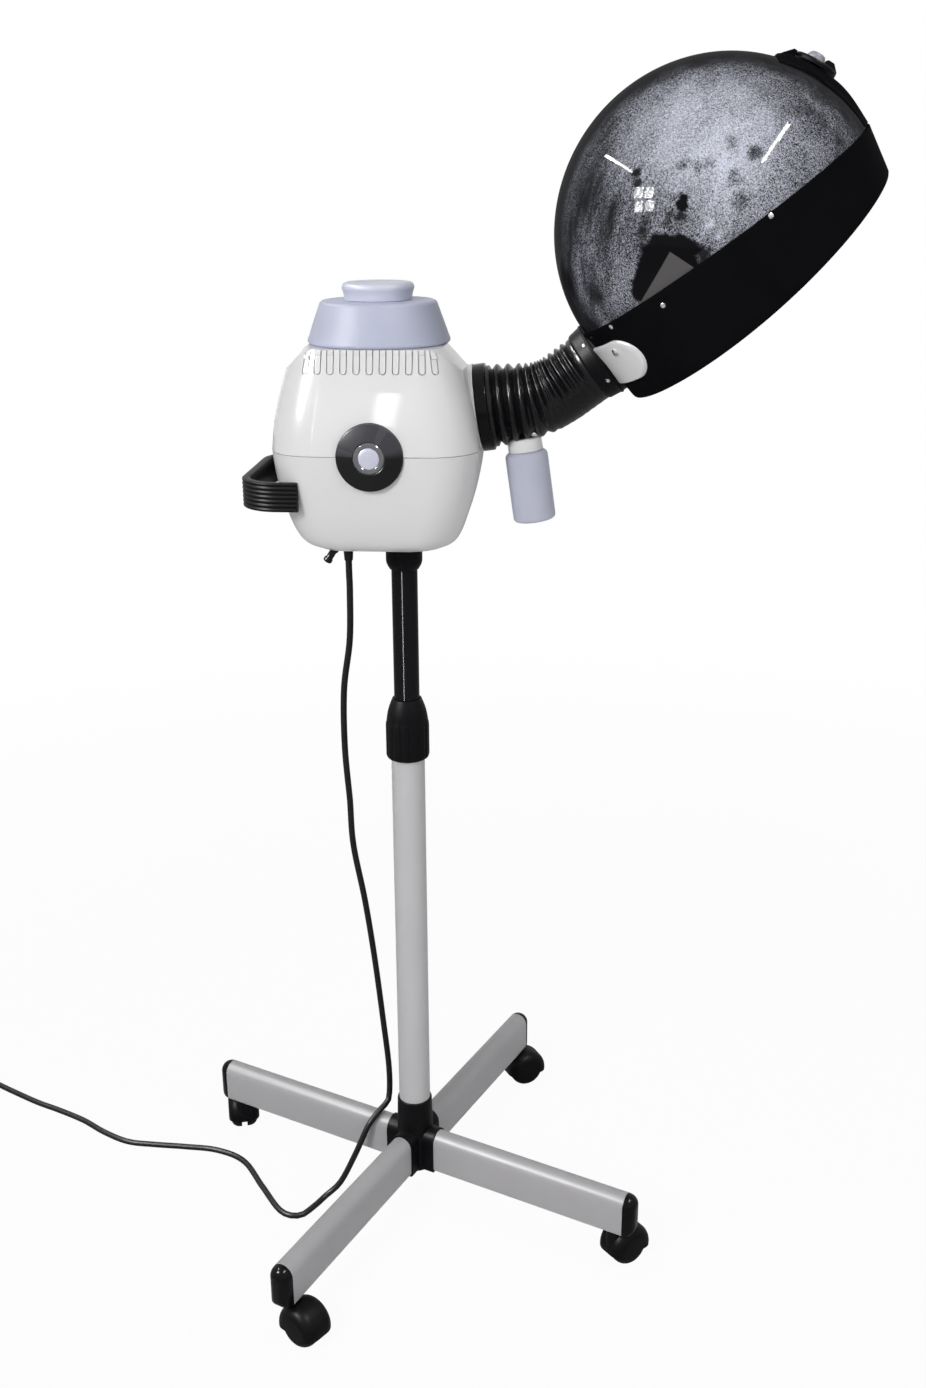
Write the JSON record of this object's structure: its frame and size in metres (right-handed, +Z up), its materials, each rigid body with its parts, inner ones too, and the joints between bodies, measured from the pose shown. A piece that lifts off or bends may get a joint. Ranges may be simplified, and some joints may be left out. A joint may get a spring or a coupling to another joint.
{
  "type": "hair steamer",
  "caption": "Salon hair steamer: smoke-domed hood on a ribbed steam neck, boiler body with lift-off water tank, telescopic pole and rolling cross base.",
  "frame": {"origin": "on the floor, under the middle of the bounding box of the steamer without its mains lead", "axes": "+Z up, +X from the body towards the hood, the side with the control bezel facing -Y"},
  "size_m": [1.1515, 0.539, 1.2628],
  "materials": {
    "ivory_abs": "glossy ivory moulding",
    "grey_enamel": "light grey enamel",
    "black_enamel": "gloss black enamel",
    "black_gloss_plastic": "gloss",
    "black_matt_plastic": "fine matt",
    "black_rubber": "satin",
    "milky_polythene": "translucent milky",
    "smoke_acrylic": "clear smoke",
    "bright_steel": "bright",
    "lilac_plastic": "satin",
    "clear_plastic": "clear",
    "natural_nylon": "natural"
  },
  "bodies": {
    "base": {"base_hub": "black_matt_plastic", "leg_1": "grey_enamel", "leg_2": "grey_enamel", "leg_3": "grey_enamel", "leg_4": "grey_enamel", "leg_cap_1": "black_gloss_plastic", "leg_cap_2": "black_gloss_plastic", "leg_cap_3": "black_gloss_plastic", "leg_cap_4": "black_gloss_plastic", "lower_pole": "grey_enamel", "clamp_collet": "natural_nylon", "cord_lower": "black_rubber", "cord_coil": "black_rubber", "mains_plug": "black_matt_plastic"},
    "caster_1": {"caster_hood_1": "black_matt_plastic"},
    "caster_2": {"caster_hood_2": "black_matt_plastic"},
    "caster_3": {"caster_hood_3": "black_matt_plastic"},
    "caster_4": {"caster_hood_4": "black_matt_plastic"},
    "wheels_1": {"caster_wheels_1": "black_matt_plastic"},
    "wheels_2": {"caster_wheels_2": "black_matt_plastic"},
    "wheels_3": {"caster_wheels_3": "black_matt_plastic"},
    "wheels_4": {"caster_wheels_4": "black_matt_plastic"},
    "clamp": {"clamp_grip": "black_matt_plastic"},
    "mast": {"upper_pole": "black_enamel", "pole_bush": "natural_nylon"},
    "head": {"pole_socket": "black_matt_plastic", "lower_shell": "ivory_abs", "upper_shell": "ivory_abs", "handle": "black_matt_plastic", "control_bezel": "black_gloss_plastic", "button_ring": "clear_plastic", "switch_block": "black_matt_plastic", "pilot_lamp": "clear_plastic", "boiler_pot": "bright_steel", "boiler_lid": "bright_steel", "heater_band": "bright_steel", "steam_riser": "bright_steel", "outlet_duct": "black_gloss_plastic", "hinge_pin": "bright_steel", "drip_cap": "ivory_abs", "drain_nipple": "black_rubber", "cord_boot": "black_rubber", "cord_upper": "black_rubber", "bellows": "black_rubber"},
    "button": {"power_button": "lilac_plastic"},
    "tank": {"water_tank": "milky_polythene"},
    "cap": {"tank_cap": "milky_polythene"},
    "bottle": {"drip_bottle": "milky_polythene"},
    "hood": {"neck_duct": "black_gloss_plastic", "hose_collar": "black_gloss_plastic", "neck_saddle": "ivory_abs", "hood_skirt": "black_gloss_plastic", "hood_dome": "smoke_acrylic", "steam_nozzle": "black_matt_plastic", "vent_spine": "black_gloss_plastic"},
    "vent": {"vent_dial": "black_matt_plastic", "vent_grip": "lilac_plastic"}
  },
  "joints": [
    {"name": "caster_swivel_1", "type": "hinge", "parent": "base", "child": "caster_1", "pos_m": [0.01034, 0.2346, 0.049], "axis": [0, 0, 1], "continuous": true},
    {"name": "caster_roll_1", "type": "hinge", "parent": "caster_1", "child": "wheels_1", "pos_m": [0.02506, 0.2431, 0.02164], "axis": [0.5, -0.866, 0], "continuous": true},
    {"name": "caster_swivel_2", "type": "hinge", "parent": "base", "child": "caster_2", "pos_m": [-0.3281, 0.10604, 0.049], "axis": [0, 0, 1], "continuous": true},
    {"name": "caster_roll_2", "type": "hinge", "parent": "caster_2", "child": "wheels_2", "pos_m": [-0.3325, 0.12246, 0.02164], "axis": [0.9659, 0.2588, 0], "continuous": true},
    {"name": "caster_swivel_3", "type": "hinge", "parent": "base", "child": "caster_3", "pos_m": [-0.19954, -0.2324, 0.049], "axis": [0, 0, 1], "continuous": true},
    {"name": "caster_roll_3", "type": "hinge", "parent": "caster_3", "child": "wheels_3", "pos_m": [-0.18561, -0.24215, 0.02164], "axis": [-0.5736, -0.8192, 0], "continuous": true},
    {"name": "caster_swivel_4", "type": "hinge", "parent": "base", "child": "caster_4", "pos_m": [0.1389, -0.10384, 0.049], "axis": [0, 0, 1], "continuous": true},
    {"name": "caster_roll_4", "type": "hinge", "parent": "caster_4", "child": "wheels_4", "pos_m": [0.15193, -0.09291, 0.02164], "axis": [0.6428, -0.766, 0], "continuous": true},
    {"name": "clamp_twist", "type": "hinge", "parent": "base", "child": "clamp", "pos_m": [-0.0946, 0.0011, 0.6], "axis": [0, 0, 1], "range_deg": [-90, 0]},
    {"name": "mast_slide", "type": "slide", "parent": "base", "child": "mast", "axis": [0, 0, 1], "range_m": [-0.12, 0.16], "deforming": ["cord_lower"]},
    {"name": "head_swivel", "type": "hinge", "parent": "mast", "child": "head", "pos_m": [-0.0946, 0.0011, 0.82], "axis": [0, 0, 1], "range_deg": [-90, 90], "deforming": ["cord_upper"]},
    {"name": "hood_tilt", "type": "hinge", "parent": "head", "child": "hood", "pos_m": [0.04905, 0.0011, 0.94937], "axis": [0, -1, 0], "range_deg": [-33, 12], "deforming": ["bellows"]},
    {"name": "button_press", "type": "slide", "parent": "head", "child": "button", "axis": [0, 1, 0], "range_m": [0, 0.003], "stiffness_N_per_m": 400},
    {"name": "tank_lift", "type": "slide", "parent": "head", "child": "tank", "axis": [0, 0, 1], "range_m": [0, 0.12]},
    {"name": "cap_turn", "type": "hinge", "parent": "tank", "child": "cap", "pos_m": [-0.1148, 0.0011, 1.05], "axis": [0, 0, 1], "range_deg": [0, 270]},
    {"name": "bottle_turn", "type": "hinge", "parent": "head", "child": "bottle", "pos_m": [0.0227, 0.0011, 0.94566], "axis": [-0.1392, 0, 0.9903], "range_deg": [0, 270]},
    {"name": "vent_turn", "type": "hinge", "parent": "hood", "child": "vent", "pos_m": [0.20907, 0.0011, 1.10562], "axis": [0.4795, 0, 0.8776], "range_deg": [0, 90]}
  ]
}
